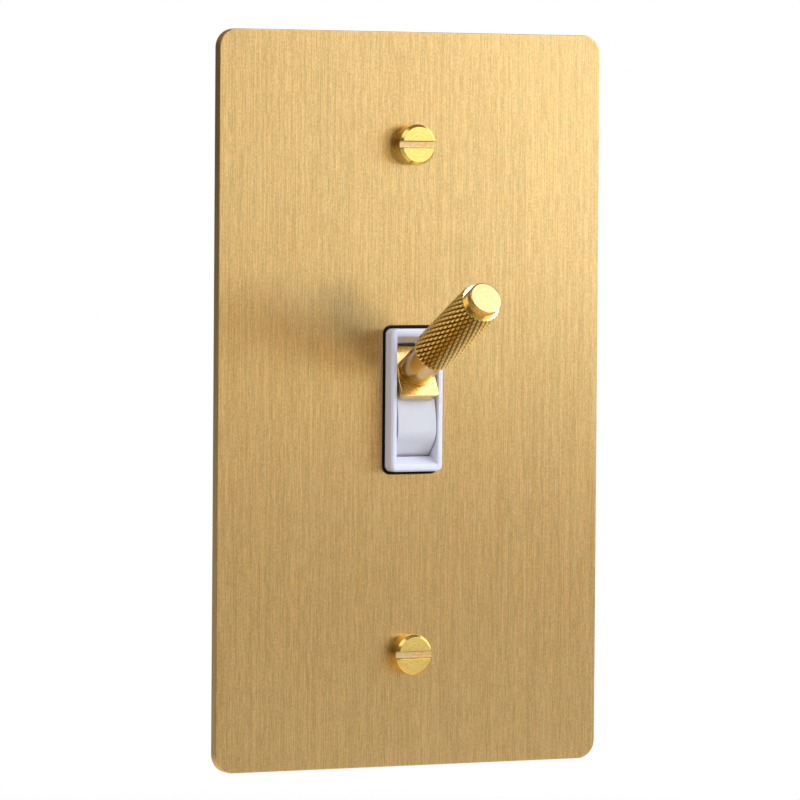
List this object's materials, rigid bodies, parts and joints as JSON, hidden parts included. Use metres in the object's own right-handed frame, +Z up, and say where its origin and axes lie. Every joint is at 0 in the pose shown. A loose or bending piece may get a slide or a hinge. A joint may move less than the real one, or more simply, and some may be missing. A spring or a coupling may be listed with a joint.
{
  "type": "toggle light switch",
  "caption": "Wall toggle light switch: flat metal plate, knurled lever on a rocking drum in a slim bezel, and a mechanism housing for the wall box.",
  "frame": {"origin": "centre of the gasket's back face, which lies on the wall", "axes": "+Z up, +X to the right as seen from the room, +Y into the wall, so the lever points to -Y"},
  "size_m": [0.07, 0.057, 0.12],
  "materials": {
    "brushed_brass": "vertical hairline brushed, lacquered",
    "polished_brass": "polished",
    "turned_brass": "fine turned, satin",
    "knurled_brass": "diamond knurled",
    "bezel_plastic": "moulded, satin",
    "drum_plastic": "moulded, satin",
    "black_rubber": "matt",
    "dark_plastic": "moulded, fine grain",
    "carriage_plastic": "moulded",
    "fibre": "pressed fibre",
    "zinc_steel": "zinc plated",
    "bright_steel": "ground",
    "spring_steel": "rolled",
    "terminal_brass": "stamped",
    "copper": "rolled",
    "contact_silver": "cold headed",
    "green_screw": "green dyed zinc"
  },
  "bodies": {
    "wall_unit": {"face_plate": "brushed_brass", "gasket": "black_rubber", "plate_screws": "polished_brass", "screw_retainers": "fibre", "mounting_strap": "zinc_steel", "switch_cover": "bezel_plastic", "housing_base": "dark_plastic", "housing_rivets": "zinc_steel", "pivot_pin": "bright_steel", "line_terminal": "terminal_brass", "load_terminal": "terminal_brass", "fixed_contacts": "contact_silver", "clamp_plates": "zinc_steel", "terminal_screws": "terminal_brass", "ground_screw": "green_screw", "detent_leaf": "spring_steel"},
    "lever": {"toggle_drum": "drum_plastic", "threaded_insert": "terminal_brass", "lever_stud": "bright_steel", "lever_foot": "turned_brass", "lever_neck": "turned_brass", "knurled_grip": "knurled_brass", "end_button": "turned_brass"},
    "carriage": {"contact_carriage": "carriage_plastic", "contact_bridge": "copper", "moving_contacts": "contact_silver"}
  },
  "joints": [
    {"name": "lever_pivot", "type": "hinge", "parent": "wall_unit", "child": "lever", "pos_m": [0, 0.0039, 0], "axis": [1, 0, 0], "range_deg": [0, 54.6]},
    {"name": "carriage_slide", "type": "slide", "parent": "wall_unit", "child": "carriage", "axis": [0, 0, 1], "range_m": [0, 0.00828], "deforming": ["detent_leaf"]}
  ],
  "couplings": [
    {"joint": "carriage_slide", "follows": "lever_pivot", "m_per_rad": 0.0086633}
  ]
}
